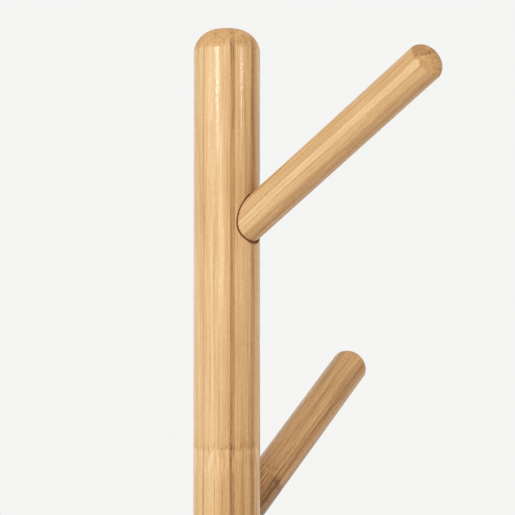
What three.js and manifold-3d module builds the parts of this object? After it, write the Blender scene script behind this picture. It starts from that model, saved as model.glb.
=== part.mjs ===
// Mug tree: a round bamboo post on a round bamboo base, with four pegs that climb it in quarter turns.
//
// Millimetres, +Z up. The origin is the centre of the plane that the rubber feet stand on. The top
// peg leans out towards +X, and each peg below it is a quarter turn further round (+Y, -X, -Y).
// Every peg is screwed on: a hanger bolt joins its blunt end to a threaded insert at the bottom of a
// shallow socket in the post. One bolt through the base pulls the post down into the base's seat.

import * as THREE from 'three';
import { mergeVertices, toCreasedNormals } from 'three/addons/utils/BufferGeometryUtils.js';
import Module from 'manifold-3d';

// ---- Post ----
const POST_DIAMETER = 22;
const POST_TOP_ROUND = 8.6; // radius of the rounding at the top
const POST_FOOT_CHAMFER = 0.8;
const POST_ABOVE_TOP_PEG = 70.7; // from the top peg's crossing with the post's axis to the very top

// ---- Pegs ----
const PEG_NAMES = ['top', 'upper', 'lower', 'bottom'];
const PEG_DIAMETER = 12.7;
const PEG_REACH = 97.5; // along the peg, from the post's axis to the tip
const PEG_SLOPE = THREE.MathUtils.degToRad(35.5); // above the horizontal
const PEG_PITCH = 96; // height from one peg to the next
const PEG_TURN = THREE.MathUtils.degToRad(90); // around the post, from one peg to the next one down
const PEG_TIP_LENGTH = 5; // how far the rounded tip reaches along the peg
const PEG_TIP_FLAT = 0.35; // radius of the small flat left at the centre of the tip
const PEG_END_CHAMFER = 0.6;
const LOWEST_PEG_RISE = 73.3; // from the base's top face to the lowest peg's crossing with the post

// ---- Sockets in the post, one for each peg ----
const SOCKET_FLOOR = 4; // along the peg, from the post's axis to the flat floor of the socket
const SOCKET_CLEARANCE = 0.4; // all round the peg

// ---- Base ----
const BASE_DIAMETER = 160;
const BASE_THICKNESS = 16;
const BASE_TOP_ROUND = 5;
const BASE_BOTTOM_ROUND = 1.5;
const SEAT_DEPTH = 5; // how far the post's foot sits down into the base

// ---- Rubber feet ----
const FOOT_COUNT = 4;
const FOOT_DIAMETER = 14;
const FOOT_PROUD = 2; // how far a foot stands below the base
const FOOT_SUNK = 1.5; // how far it is let into the base
const FOOT_INSET = 18; // from the base's edge to the centre of a foot
const FOOT_EDGE_ROUND = 0.6;

// ---- Hanger bolts, which hold the pegs ----
const HANGER_DIAMETER = 4;
const HANGER_IN_POST = 9; // from the socket's floor into the post
const HANGER_IN_PEG = 15; // from the socket's floor into the peg
const HANGER_PITCH = 0.7; // of the machine thread, in the insert
const HANGER_SCREW_PITCH = 1.8; // of the wood thread, in the peg
const HANGER_THREAD_DEPTH = 0.4;
const HANGER_POINT = 2.5; // length of the pointed end in the peg

// ---- Base bolt and washer ----
const BOLT_DIAMETER = 6;
const BOLT_LENGTH = 30; // under the head
const BOLT_PITCH = 1;
const BOLT_THREAD_DEPTH = 0.55;
const BOLT_THREADED_LENGTH = 14;
const BOLT_HEAD_DIAMETER = 11;
const BOLT_HEAD_HEIGHT = 3.6;
const BOLT_HEAD_ROUND = 1.6;
const BOLT_HEX_ACROSS_FLATS = 4;
const BOLT_HEX_DEPTH = 2.2;
const BOLT_HEAD_SUNK = 1.2; // from the base's underside up to the head
const WASHER_DIAMETER = 14;
const WASHER_THICKNESS = 1.2;

// ---- Threaded inserts: wall is the brass around the bolt, ridges are those of the outer thread ----
const PEG_INSERT = { wall: 0.9, length: 9.5, ridges: 5, ridgeDepth: 0.45, slot: 1.1 };
const BASE_INSERT = { wall: 1.5, length: 14, ridges: 6, ridgeDepth: 0.6, slot: 1.6 };
const INSERT_SET_BACK = 0.5; // how far an insert's mouth lies below the face that it is driven into
const BORE_RUN_OUT = 1.5; // room beyond the end of a bolt or an insert in a blind bore

// ---- Clearances ----
const FIT_GAP = 0.3; // between a bolt, insert, washer or foot and the hole or face that holds it
const SEAT_CLEARANCE = 0.3; // all round the post's foot in the base
const WASHER_CLEARANCE = 1.5; // all round the washer and the bolt's head in the counterbore

// ---- How finely curves are divided ----
const POST_SIDES = 40;
const PEG_SIDES = 24;
const BASE_SIDES = 60;
const FOOT_SIDES = 18;
const BORE_SIDES = 14;
const THREAD_SIDES = 8;
const ROUND_STEPS = 4;
const CREASE = THREE.MathUtils.degToRad(30);

// ---- Sizes and heights worked out from those above ----
const postRadius = POST_DIAMETER / 2;
const pegRadius = PEG_DIAMETER / 2;
const baseUnderside = FOOT_PROUD;
const baseTop = baseUnderside + BASE_THICKNESS;
const seatFloor = baseTop - SEAT_DEPTH;
const postFoot = seatFloor + FIT_GAP;
const lowestPegHeight = baseTop + LOWEST_PEG_RISE;
const topPegHeight = lowestPegHeight + PEG_PITCH * (PEG_NAMES.length - 1);
const postTop = topPegHeight + POST_ABOVE_TOP_PEG;
const socketRadius = pegRadius + SOCKET_CLEARANCE;
const pegEnd = SOCKET_FLOOR + FIT_GAP;
const boltHeadBottom = baseUnderside + BOLT_HEAD_SUNK;
const boltHeadTop = boltHeadBottom + BOLT_HEAD_HEIGHT;
const washerBottom = boltHeadTop + FIT_GAP;
const washerTop = washerBottom + WASHER_THICKNESS;
const counterboreTop = washerTop + FIT_GAP;
const boltHoleRadius = BOLT_DIAMETER / 2 + FIT_GAP;
const boltTip = boltHeadTop + BOLT_LENGTH;
const hangerHoleRadius = HANGER_DIAMETER / 2 + FIT_GAP;
const pegInsertRadius = hangerHoleRadius + PEG_INSERT.wall;
const baseInsertRadius = boltHoleRadius + BASE_INSERT.wall;

const BAMBOO = { color: 0xd9ab6e, roughness: 0.42, metalness: 0 };
const STEEL = { color: 0xb9bcc0, roughness: 0.32, metalness: 1 };
const BRASS = { color: 0xc8a252, roughness: 0.36, metalness: 1 };
const RUBBER = { color: 0x2a2826, roughness: 0.85, metalness: 0 };

const wasm = await Module();
wasm.setup();

// ---- Shape helpers ----

// Points of an elliptical arc in a turned profile, as [radius, height] pairs. Angles are in degrees
// from the outward direction towards +Z.
function arc(centreRadius, centreHeight, halfWidth, halfHeight, fromAngle, toAngle) {
  const points = [];
  for (let step = 0; step <= ROUND_STEPS; step += 1) {
    const turn = THREE.MathUtils.lerp(fromAngle, toAngle, step / ROUND_STEPS);
    const angle = THREE.MathUtils.degToRad(turn);
    const radius = centreRadius + halfWidth * Math.cos(angle);
    const height = centreHeight + halfHeight * Math.sin(angle);
    points.push([radius, height]);
  }
  return points;
}

// A profile of [radius, height] pairs, turned about +Z.
function turned(profile, sides) {
  const points = profile.map(([radius, height]) => new THREE.Vector2(radius, height));
  const geometry = new THREE.LatheGeometry(points, sides);
  geometry.rotateX(Math.PI / 2);
  return geometry;
}

// A plain round rod along +Z between two heights.
function rod(radius, bottom, top, sides) {
  return turned([[0, bottom], [radius, bottom], [radius, top], [0, top]], sides);
}

// The ridges of a thread as a profile, from one height up to another.
function threadProfile(radius, depth, pitch, bottom, top) {
  const count = Math.floor((top - bottom) / pitch);
  const points = [];
  for (let turn = 0; turn < count; turn += 1) {
    const root = bottom + turn * pitch;
    points.push([radius - depth, root]);
    points.push([radius, root + pitch / 2]);
  }
  points.push([radius - depth, bottom + count * pitch]);
  return points;
}

function toSolid(geometry) {
  const bare = geometry.clone();
  bare.deleteAttribute('normal');
  bare.deleteAttribute('uv');
  const merged = mergeVertices(bare);
  const corners = merged.index.array;
  const triangles = [];
  for (let first = 0; first < corners.length; first += 3) {
    const [a, b, c] = corners.slice(first, first + 3);
    if (a !== b && b !== c && c !== a) triangles.push(a, b, c);
  }
  const vertProperties = merged.attributes.position.array;
  const triVerts = Uint32Array.from(triangles);
  return new wasm.Manifold(new wasm.Mesh({ numProp: 3, vertProperties, triVerts }));
}

function toGeometry(solid) {
  const mesh = solid.getMesh();
  const geometry = new THREE.BufferGeometry();
  geometry.setAttribute('position', new THREE.BufferAttribute(mesh.vertProperties, 3));
  geometry.setIndex(new THREE.BufferAttribute(mesh.triVerts, 1));
  return toCreasedNormals(geometry, CREASE);
}

// The geometry with each of the tools cut out of it.
function cut(geometry, tools) {
  let solid = toSolid(geometry);
  for (const tool of tools) solid = solid.subtract(toSolid(tool));
  return toGeometry(solid);
}

function piece(name, geometry, finish) {
  const mesh = new THREE.Mesh(geometry, new THREE.MeshStandardMaterial(finish));
  mesh.name = name;
  return mesh;
}

// Where a peg's own frame lies: its +Z runs out along the peg from the post's axis.
function pegPlace(level) {
  const height = topPegHeight - PEG_PITCH * level;
  const lean = Math.PI / 2 - PEG_SLOPE;
  const place = new THREE.Matrix4().makeTranslation(0, 0, height);
  place.multiply(new THREE.Matrix4().makeRotationZ(PEG_TURN * level));
  place.multiply(new THREE.Matrix4().makeRotationY(lean));
  return place;
}

function footPlace(index) {
  const angle = (2 * Math.PI * index) / FOOT_COUNT;
  const circleRadius = BASE_DIAMETER / 2 - FOOT_INSET;
  const x = circleRadius * Math.cos(angle);
  const y = circleRadius * Math.sin(angle);
  return new THREE.Vector3(x, y, 0);
}

// ---- Sub-parts ----

// Cutting tools for one level of the post: the socket, and below its floor the insert's bore.
function socketTools(level) {
  const insertBottom = SOCKET_FLOOR - INSERT_SET_BACK - PEG_INSERT.length;
  const deepest = Math.min(insertBottom, SOCKET_FLOOR - HANGER_IN_POST) - BORE_RUN_OUT;
  const bore = pegInsertRadius + FIT_GAP;
  const outside = SOCKET_FLOOR + POST_DIAMETER / Math.cos(PEG_SLOPE);
  const tools = [
    rod(socketRadius, SOCKET_FLOOR, outside, PEG_SIDES),
    rod(bore, deepest, SOCKET_FLOOR + FIT_GAP, BORE_SIDES),
  ];
  for (const tool of tools) tool.applyMatrix4(pegPlace(level));
  return tools;
}

function post() {
  const insertTop = postFoot + INSERT_SET_BACK + BASE_INSERT.length;
  const boreTop = Math.max(insertTop, boltTip) + BORE_RUN_OUT;
  const boreRadius = baseInsertRadius + FIT_GAP;
  const topRound = Math.min(POST_TOP_ROUND, postRadius);
  const profile = [
    [0, boreTop],
    [boreRadius, boreTop],
    [boreRadius, postFoot],
    [postRadius - POST_FOOT_CHAMFER, postFoot],
    [postRadius, postFoot + POST_FOOT_CHAMFER],
    ...arc(postRadius - topRound, postTop - topRound, topRound, topRound, 0, 90),
    [0, postTop],
  ];
  const tools = PEG_NAMES.flatMap((name, level) => socketTools(level));
  return piece('post', cut(turned(profile, POST_SIDES), tools), BAMBOO);
}

// A peg in its own frame, with a pilot bore for the hanger bolt in its blunt end.
function peg(name) {
  const tipWidth = pegRadius - PEG_TIP_FLAT;
  const boreEnd = SOCKET_FLOOR + HANGER_IN_PEG + BORE_RUN_OUT;
  const profile = [
    [0, boreEnd],
    [hangerHoleRadius, boreEnd],
    [hangerHoleRadius, pegEnd],
    [pegRadius - PEG_END_CHAMFER, pegEnd],
    [pegRadius, pegEnd + PEG_END_CHAMFER],
    ...arc(PEG_TIP_FLAT, PEG_REACH - PEG_TIP_LENGTH, tipWidth, PEG_TIP_LENGTH, 0, 90),
    [0, PEG_REACH],
  ];
  return piece(`peg_${name}`, turned(profile, PEG_SIDES), BAMBOO);
}

// A double-ended bolt: machine thread into the post's insert, wood thread into the peg.
function hangerBolt(name) {
  const radius = HANGER_DIAMETER / 2;
  const core = radius - HANGER_THREAD_DEPTH;
  const bottom = SOCKET_FLOOR - HANGER_IN_POST;
  const top = SOCKET_FLOOR + HANGER_IN_PEG;
  const plainBottom = SOCKET_FLOOR - INSERT_SET_BACK;
  const plainTop = SOCKET_FLOOR + FIT_GAP + HANGER_SCREW_PITCH;
  const profile = [
    [0, bottom],
    ...threadProfile(radius, HANGER_THREAD_DEPTH, HANGER_PITCH, bottom, plainBottom),
    [radius, plainBottom],
    [radius, plainTop],
    ...threadProfile(radius, HANGER_THREAD_DEPTH, HANGER_SCREW_PITCH, plainTop, top - HANGER_POINT),
    [core, top - HANGER_POINT],
    [0, top],
  ];
  return piece(`hanger_bolt_${name}`, turned(profile, THREAD_SIDES), STEEL);
}

// A threaded insert from one height up to another, open right through, with a driving slot across
// its mouth. The mouth is at the top, or at the bottom where mouthDown is true.
function insert(name, size, inner, bottom, mouthDown) {
  const outer = inner + size.wall;
  const top = bottom + size.length;
  const pitch = size.length / size.ridges;
  const profile = [
    [inner, top],
    [inner, bottom],
    ...threadProfile(outer, size.ridgeDepth, pitch, bottom, top),
    [inner, top],
  ];
  const slot = new THREE.BoxGeometry(outer * 4, size.slot, size.slot * 2);
  slot.translate(0, 0, mouthDown ? bottom : top);
  return piece(name, cut(turned(profile, BORE_SIDES), [slot]), BRASS);
}

function pegInsert(name) {
  const bottom = SOCKET_FLOOR - INSERT_SET_BACK - PEG_INSERT.length;
  return insert(`peg_insert_${name}`, PEG_INSERT, hangerHoleRadius, bottom, false);
}

function baseInsert() {
  return insert('base_insert', BASE_INSERT, boltHoleRadius, postFoot + INSERT_SET_BACK, true);
}

// The base, turned in one piece: the post's seat above, the bolt's counterbore below.
function base() {
  const radius = BASE_DIAMETER / 2;
  const seatRadius = postRadius + SEAT_CLEARANCE;
  const widestInside = Math.max(WASHER_DIAMETER, BOLT_HEAD_DIAMETER) / 2;
  const counterboreRadius = widestInside + WASHER_CLEARANCE;
  const lowEdge = baseUnderside + BASE_BOTTOM_ROUND;
  const highEdge = baseTop - BASE_TOP_ROUND;
  const profile = [
    [boltHoleRadius, counterboreTop],
    [counterboreRadius, counterboreTop],
    [counterboreRadius, baseUnderside],
    ...arc(radius - BASE_BOTTOM_ROUND, lowEdge, BASE_BOTTOM_ROUND, BASE_BOTTOM_ROUND, -90, 0),
    ...arc(radius - BASE_TOP_ROUND, highEdge, BASE_TOP_ROUND, BASE_TOP_ROUND, 0, 90),
    [seatRadius, baseTop],
    [seatRadius, seatFloor],
    [boltHoleRadius, seatFloor],
    [boltHoleRadius, counterboreTop],
  ];
  const recessTop = baseUnderside + FOOT_SUNK + FIT_GAP;
  const recesses = [];
  for (let index = 0; index < FOOT_COUNT; index += 1) {
    const recess = rod(FOOT_DIAMETER / 2 + FIT_GAP, 0, recessTop, FOOT_SIDES);
    const place = footPlace(index);
    recesses.push(recess.translate(place.x, place.y, 0));
  }
  return piece('base', cut(turned(profile, BASE_SIDES), recesses), BAMBOO);
}

function foot(index) {
  const radius = FOOT_DIAMETER / 2;
  const top = baseUnderside + FOOT_SUNK;
  const profile = [
    [0, 0],
    ...arc(radius - FOOT_EDGE_ROUND, FOOT_EDGE_ROUND, FOOT_EDGE_ROUND, FOOT_EDGE_ROUND, -90, 0),
    [radius, top],
    [0, top],
  ];
  const pad = piece(`rubber_foot_${index + 1}`, turned(profile, FOOT_SIDES), RUBBER);
  pad.position.copy(footPlace(index));
  return pad;
}

// The bolt's head is at the bottom, with a hexagon socket in its face.
function baseBolt() {
  const radius = BOLT_DIAMETER / 2;
  const headRadius = BOLT_HEAD_DIAMETER / 2;
  const roundTop = boltHeadBottom + BOLT_HEAD_ROUND;
  const threadBottom = boltTip - BOLT_THREADED_LENGTH;
  const profile = [
    [0, boltHeadBottom],
    ...arc(headRadius - BOLT_HEAD_ROUND, roundTop, BOLT_HEAD_ROUND, BOLT_HEAD_ROUND, -90, 0),
    [headRadius, boltHeadTop],
    [radius, boltHeadTop],
    [radius, threadBottom],
    ...threadProfile(radius, BOLT_THREAD_DEPTH, BOLT_PITCH, threadBottom, boltTip),
    [0, boltTip],
  ];
  const hexRadius = BOLT_HEX_ACROSS_FLATS / 2 / Math.cos(Math.PI / 6);
  const socketTop = boltHeadBottom + BOLT_HEX_DEPTH;
  const hexSocket = rod(hexRadius, boltHeadBottom - BOLT_HEX_DEPTH, socketTop, 6);
  return piece('base_bolt', cut(turned(profile, BORE_SIDES), [hexSocket]), STEEL);
}

function baseWasher() {
  const outer = WASHER_DIAMETER / 2;
  const profile = [
    [boltHoleRadius, washerBottom],
    [outer, washerBottom],
    [outer, washerTop],
    [boltHoleRadius, washerTop],
    [boltHoleRadius, washerBottom],
  ];
  return piece('base_washer', turned(profile, FOOT_SIDES), STEEL);
}

// ---- Assembly ----

const mugTree = new THREE.Group();
mugTree.add(base(), post(), baseInsert(), baseBolt(), baseWasher());

for (let index = 0; index < FOOT_COUNT; index += 1) {
  mugTree.add(foot(index));
}

PEG_NAMES.forEach((name, level) => {
  const branch = new THREE.Group();
  branch.applyMatrix4(pegPlace(level));
  branch.add(peg(name), hangerBolt(name), pegInsert(name));
  mugTree.add(branch);
});

export default mugTree;
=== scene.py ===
import math
import bmesh
import bpy
from mathutils import Euler, Matrix, Vector


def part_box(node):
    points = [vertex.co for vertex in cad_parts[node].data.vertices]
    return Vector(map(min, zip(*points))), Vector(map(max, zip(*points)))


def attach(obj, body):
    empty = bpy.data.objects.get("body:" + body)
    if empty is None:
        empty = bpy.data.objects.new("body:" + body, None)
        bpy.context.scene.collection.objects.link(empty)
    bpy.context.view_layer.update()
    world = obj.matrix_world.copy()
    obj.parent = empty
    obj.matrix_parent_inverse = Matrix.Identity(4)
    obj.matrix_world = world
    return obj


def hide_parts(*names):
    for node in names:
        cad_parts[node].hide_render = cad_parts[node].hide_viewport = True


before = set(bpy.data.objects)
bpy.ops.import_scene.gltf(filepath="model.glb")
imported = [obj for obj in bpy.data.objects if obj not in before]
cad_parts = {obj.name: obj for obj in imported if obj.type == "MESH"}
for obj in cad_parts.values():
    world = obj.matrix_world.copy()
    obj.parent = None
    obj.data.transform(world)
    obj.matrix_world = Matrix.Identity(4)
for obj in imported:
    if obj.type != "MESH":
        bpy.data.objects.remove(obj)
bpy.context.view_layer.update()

# ---------------------------------------------------------------- sizes, in metres
MM = 0.001
POST_LOW, POST_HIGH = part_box("post")
BASE_LOW, BASE_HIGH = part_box("base")
FOOT_NODES = ["rubber_foot_1", "rubber_foot_2", "rubber_foot_3", "rubber_foot_4"]
PEG_LEVELS = ["top", "upper", "lower", "bottom"]

POST_RADIUS = 11 * MM
POST_TOP_ROUND = 8.65 * MM
POST_TOP_LEDGE = 0.106 * MM
POST_FOOT_CHAMFER = 0.8 * MM
POST_BORE_RADIUS = 5.1 * MM
POST_BORE_TOP = 38.3 * MM
TOP_PEG_HEIGHT = POST_HIGH.z - 70.7 * MM
PEG_PITCH = 96 * MM
PEG_RADIUS = 6.35 * MM
PEG_REACH = 97.43 * MM
PEG_SLOPE = math.radians(35.5)
PEG_TURN = math.radians(90)
PEG_START = 4.3 * MM
PEG_TIP_LENGTH = 5 * MM
PEG_TIP_WIDTH = 6 * MM
PEG_TIP_LEDGE = 0.06 * MM
PEG_END_CHAMFER = 0.6 * MM
SOCKET_FLOOR = 4 * MM
SOCKET_RADIUS = 6.65 * MM
SOCKET_DROP = 0.07 * MM
SOCKET_EDGE = 0.12 * MM
SOCKET_TOOL_END = 5 * POST_RADIUS
INSERT_BORE_RADIUS = 3.5 * MM
INSERT_BORE_END = -7.5 * MM
HANGER_BORE_RADIUS = 2.3 * MM
HANGER_BORE_END = 20.5 * MM
BASE_RADIUS = 80 * MM
BASE_TOP_ROUND = 5 * MM
BASE_BOTTOM_ROUND = 1.5 * MM
SEAT_DEPTH = 5 * MM
BOLT_HOLE_RADIUS = 3.3 * MM
COUNTERBORE_RADIUS = 8.5 * MM
COUNTERBORE_DEPTH = 6.6 * MM
COUNTERBORE_ROUND = 0.4 * MM
SEAT_ROUND = 0.35 * MM
FIT_GAP = 0.3 * MM


# ---------------------------------------------------------------- the view
VIEW_TURN = math.radians(34.73)
VIEW_DISTANCE = 684.9 * MM
VIEW_SIDESTEP = 10.135 * MM
VIEW_DROP = 31.03 * MM
VIEW_PITCH = math.radians(2.167)
LENS = 144.93
SENSOR = 36
CLIP_START = 0.01


# ---------------------------------------------------------------- modelling helpers
ROUND_SEGMENTS = 6
END_STEPS = 14
SAME_PLACE = 0.01 * MM
MERGE_DISTANCE = 0.0005 * MM
SMOOTH_BELOW = 35


def nothing_selected():
    if bpy.context.object and bpy.context.object.mode != "OBJECT":
        bpy.ops.object.mode_set(mode="OBJECT")
    bpy.ops.object.select_all(action="DESELECT")


def only(piece):
    nothing_selected()
    piece.select_set(True)
    bpy.context.view_layer.objects.active = piece


def cylinder(name, radius, bottom, top, sides):
    """An upright cylinder about the Z axis, with one face at each end."""
    nothing_selected()
    middle = (0, 0, (bottom + top) / 2)
    bpy.ops.mesh.primitive_cylinder_add(vertices=sides, radius=radius, depth=top - bottom, location=middle)
    piece = bpy.context.object
    piece.name = name
    bpy.ops.object.transform_apply(location=True, rotation=True, scale=True)
    return piece


def pick(piece, kind, test):
    """Opens the piece for editing with only the faces, edges or verts that pass the test selected."""
    only(piece)
    bpy.ops.object.mode_set(mode="EDIT")
    mode = {"verts": "VERT", "edges": "EDGE", "faces": "FACE"}[kind]
    bpy.ops.mesh.select_mode(type=mode)
    bpy.ops.mesh.select_all(action="DESELECT")
    mesh = bmesh.from_edit_mesh(piece.data)
    for item in getattr(mesh, kind):
        if test(item):
            item.select_set(True)
    mesh.select_flush_mode()
    bmesh.update_edit_mesh(piece.data)


def done():
    bpy.ops.object.mode_set(mode="OBJECT")


def modify(piece, kind, **settings):
    only(piece)
    modifier = piece.modifiers.new(kind.lower(), kind)
    for key, value in settings.items():
        setattr(modifier, key, value)
    bpy.ops.object.modifier_apply(modifier=modifier.name)


def cut_away(piece, tool, operation="DIFFERENCE"):
    modify(piece, "BOOLEAN", operation=operation, object=tool, solver="EXACT")
    bpy.data.objects.remove(tool)


def put(piece, place):
    """Moves a piece that was made about the origin, and leaves its place in its mesh."""
    only(piece)
    piece.matrix_world = place
    bpy.ops.object.transform_apply(location=True, rotation=True, scale=True)
    return piece


def copy_of(piece, name):
    """A copy with a mesh of its own."""
    only(piece)
    bpy.ops.object.duplicate()
    twin = bpy.context.object
    twin.name = name
    return twin


def smooth(piece, angle=SMOOTH_BELOW):
    """Shades smooth wherever faces meet at less than the angle, in degrees."""
    only(piece)
    bpy.ops.object.shade_smooth_by_angle(angle=math.radians(angle))


def clean(piece):
    """Merges doubles, drops faces with no area and turns every face outwards."""
    pick(piece, "verts", lambda vert: True)
    bpy.ops.mesh.select_all(action="SELECT")
    bpy.ops.mesh.remove_doubles(threshold=MERGE_DISTANCE)
    bpy.ops.mesh.dissolve_degenerate(threshold=MERGE_DISTANCE)
    bpy.ops.mesh.select_all(action="SELECT")
    bpy.ops.mesh.normals_make_consistent(inside=False)
    done()


def turned(name, points, steps, rounds=(), divisions=None):
    """Turns a profile of (radius, height) points about Z.

    Each round is (point number, radius). Divisions say how many steps the stretch after a point gets.
    """
    nothing_selected()
    start = points[0]
    bpy.ops.mesh.primitive_plane_add(size=MM, location=(start[0], 0, start[1]))
    piece = bpy.context.object
    piece.name = name
    bpy.ops.object.transform_apply(location=True, rotation=True, scale=True)
    bpy.ops.object.mode_set(mode="EDIT")
    bpy.ops.mesh.select_mode(type="VERT")
    bpy.ops.mesh.select_all(action="SELECT")
    bpy.ops.mesh.merge(type="CENTER")
    for number, (here, there) in enumerate(zip(points, points[1:])):
        count = (divisions or {}).get(number, 1)
        step = ((there[0] - here[0]) / count, 0, (there[1] - here[1]) / count)
        for _ in range(count):
            bpy.ops.mesh.extrude_region_move(TRANSFORM_OT_translate={"value": step})
    done()
    for number, radius in rounds:
        corner = Vector((points[number][0], 0, points[number][1]))
        pick(piece, "verts", lambda vert: (vert.co - corner).length < SAME_PLACE)
        bpy.ops.mesh.bevel(offset=radius, segments=ROUND_SEGMENTS, profile=0.5, affect="VERTICES")
        done()
    pick(piece, "verts", lambda vert: True)
    bpy.ops.mesh.spin(steps=steps, angle=2 * math.pi, center=(0, 0, 0), axis=(0, 0, 1))
    done()
    clean(piece)
    return piece


def rounded_end(radius, top, width, height, ledge):
    """Profile points of a rounded end. Its curve starts a ledge too wide, which leaves a faint edge."""
    start = math.acos(1 - ledge / width)
    points = []
    for step in range(END_STEPS + 1):
        angle = start + (math.pi / 2 - start) * step / END_STEPS
        across = radius + ledge - width + width * math.cos(angle)
        points.append((across, top - height + height * math.sin(angle)))
    return points


def finished(piece, body, nodes, material):
    """Hands a piece over: what it rides on, what it stands for, its finish."""
    piece.data.materials.clear()
    piece.data.materials.append(material)
    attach(piece, body)
    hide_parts(*nodes)


# ---------------------------------------------------------------- node helpers
FLOAT = "NodeSocketFloat"
VECTOR = "NodeSocketVector"


def feed(tree, made, inputs):
    """Gives a node its inputs: values, or the sockets that feed them."""
    for key, value in inputs.items():
        if isinstance(value, bpy.types.NodeSocket):
            tree.links.new(value, made.inputs[key])
        else:
            made.inputs[key].default_value = value


def node(tree, kind, inputs=None, **settings):
    made = tree.nodes.new(kind)
    for key, value in settings.items():
        setattr(made, key, value)
    feed(tree, made, inputs or {})
    return made


def math_node(tree, operation, first, second=0.0, third=0.0):
    return node(tree, "ShaderNodeMath", {0: first, 1: second, 2: third}, operation=operation).outputs[0]


def add_up(tree, start, terms):
    """Start plus the sum of (mask, gain) terms."""
    total = start
    for mask, gain in terms:
        total = math_node(tree, "MULTIPLY_ADD", mask, gain, total)
    return total


def ramp(tree, value, low, high, to_low=0.0, to_high=1.0):
    """A smooth step of a value from low to high."""
    values = {"Value": value, "From Min": low, "From Max": high, "To Min": to_low, "To Max": to_high}
    return node(tree, "ShaderNodeMapRange", values, interpolation_type="SMOOTHSTEP").outputs["Result"]


def band(tree, value, rise, fall):
    """1 for a value between a rise and a fall, which are each (from, to)."""
    return math_node(tree, "MULTIPLY", ramp(tree, value, *rise), ramp(tree, value, *fall, 1.0, 0.0))


def moved_by(tree, vector, shift):
    return node(tree, "ShaderNodeVectorMath", {0: vector, 1: shift}, operation="ADD").outputs[0]


def scaled(tree, vector, scale):
    return node(tree, "ShaderNodeVectorMath", {0: vector, 1: scale}, operation="MULTIPLY").outputs[0]


def length(tree, vector):
    return node(tree, "ShaderNodeVectorMath", {0: vector}, operation="LENGTH").outputs["Value"]


def dot(tree, first, second):
    values = {0: first, 1: second}
    return node(tree, "ShaderNodeVectorMath", values, operation="DOT_PRODUCT").outputs["Value"]


def split(tree, vector):
    """The X, Y and Z outputs of a vector."""
    return node(tree, "ShaderNodeSeparateXYZ", {0: vector}).outputs


def joined(tree, x=0.0, y=0.0, z=0.0):
    return node(tree, "ShaderNodeCombineXYZ", {"X": x, "Y": y, "Z": z}).outputs[0]


def noise(tree, place, scale, detail, roughness=0.5, output="Fac"):
    """Noise at a place, with one scale or a scale for each axis."""
    if isinstance(scale, tuple):
        place, scale = scaled(tree, place, scale), 1.0
    values = {"Vector": place, "Scale": scale, "Detail": detail, "Roughness": roughness}
    return node(tree, "ShaderNodeTexNoise", values).outputs[output]


def grey(level):
    return (level, level, level, 1)


def blend(tree, factor, first, second):
    return node(tree, "ShaderNodeMix", {0: factor, 6: first, 7: second}, data_type="RGBA").outputs[2]


def colour_ramp(tree, value, stops, interpolation="LINEAR"):
    """The colour that (place, colour) stops give to a value."""
    made = node(tree, "ShaderNodeValToRGB", {"Fac": value})
    made.color_ramp.interpolation = interpolation
    elements = made.color_ramp.elements
    while len(elements) < len(stops):
        elements.new(0.5)
    for element, (where, colour) in zip(elements, stops):
        element.position = where
        element.color = colour
    return made.outputs["Color"]


def grey_chart(tree, value, low, high, stops, interpolation="LINEAR"):
    """The grey that (share, level) stops give to a value between low and high."""
    values = {"Value": value, "From Min": low, "From Max": high}
    share = node(tree, "ShaderNodeMapRange", values).outputs["Result"]
    return colour_ramp(tree, share, [(stop, grey(level)) for stop, level in stops], interpolation)


def new_group(name, inputs, outputs):
    """A node group with (name, kind, value) inputs and float outputs."""
    tree = bpy.data.node_groups.new(name, "ShaderNodeTree")
    for label, kind, value in inputs:
        socket = tree.interface.new_socket(label, in_out="INPUT", socket_type=kind)
        if value is not None:
            socket.default_value = value
    for label in outputs:
        tree.interface.new_socket(label, in_out="OUTPUT", socket_type=FLOAT)
    return tree, tree.nodes.new("NodeGroupInput").outputs, tree.nodes.new("NodeGroupOutput")


def group(tree, shared, inputs):
    """The outputs of a node group with its own values."""
    return node(tree, "ShaderNodeGroup", inputs, node_tree=shared).outputs


# ---------------------------------------------------------------- shared effects, in millimetres
BACK_STAGGER = 2.3
NODE_WAVE = 3.0


def make_strip_group():
    """Glued strips side by side along X, in two layers: a tone for each strip, and the glue seams."""
    tree, given, out = new_group(
        "glued_strips",
        [("Vector", VECTOR, None), ("Width", FLOAT, 5.5), ("Offset", FLOAT, 0.0), ("Layer", FLOAT, 0.0),
         ("Seed", FLOAT, 0.0)],
        ["Tone", "Seam", "Across", "Back"])
    sway = noise(tree, given["Vector"], (0.0, 0.0, 0.012), 1.0, output="Color")
    swayed = split(tree, moved_by(tree, given["Vector"], scaled(tree, sway, (0.7, 0.5, 0.0))))
    behind = math_node(tree, "SUBTRACT", swayed["Y"], given["Layer"])
    back = math_node(tree, "GREATER_THAN", behind, 0.0)
    shift = math_node(tree, "MULTIPLY_ADD", back, BACK_STAGGER, given["Offset"])
    place = math_node(tree, "DIVIDE", math_node(tree, "ADD", swayed["X"], shift), given["Width"])
    key = joined(tree, math_node(tree, "FLOOR", place), given["Seed"], back)
    tone = node(tree, "ShaderNodeTexWhiteNoise", {"Vector": key}, noise_dimensions="3D")
    share = math_node(tree, "FRACT", place)
    nearest = math_node(tree, "MINIMUM", share, math_node(tree, "SUBTRACT", 1.0, share))
    side_gap = math_node(tree, "MULTIPLY", nearest, given["Width"])
    gap = math_node(tree, "MINIMUM", side_gap, math_node(tree, "ABSOLUTE", behind))
    feed(tree, out, {"Tone": tone.outputs["Value"], "Seam": ramp(tree, gap, 0.04, 0.26, 1.0, 0.0),
                     "Across": swayed["X"], "Back": back})
    return tree


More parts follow.
